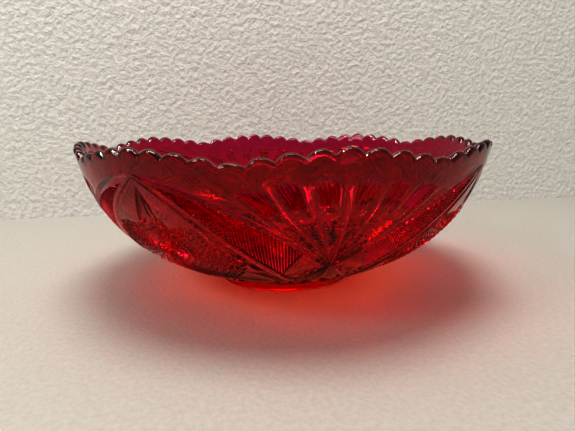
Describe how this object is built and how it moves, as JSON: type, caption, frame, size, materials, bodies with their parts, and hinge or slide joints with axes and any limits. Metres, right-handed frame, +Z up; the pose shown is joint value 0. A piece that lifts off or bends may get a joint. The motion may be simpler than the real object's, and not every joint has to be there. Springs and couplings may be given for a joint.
{
  "type": "pressed glass bowl",
  "caption": "Round ruby pressed-glass serving bowl with a scalloped, lobed rim, fan and arch relief outside, smooth inside, on a low ring foot.",
  "frame": {"origin": "centre of the foot's rest face", "axes": "+Z up along the bowl's axis, -Y through the middle of one of the four fans"},
  "size_m": [0.254, 0.254, 0.09],
  "materials": {
    "ruby_glass": "fire-polished pressed soda-lime glass, coloured ruby all through"
  },
  "bodies": {
    "root": {"bowl": "ruby_glass"}
  },
  "joints": []
}
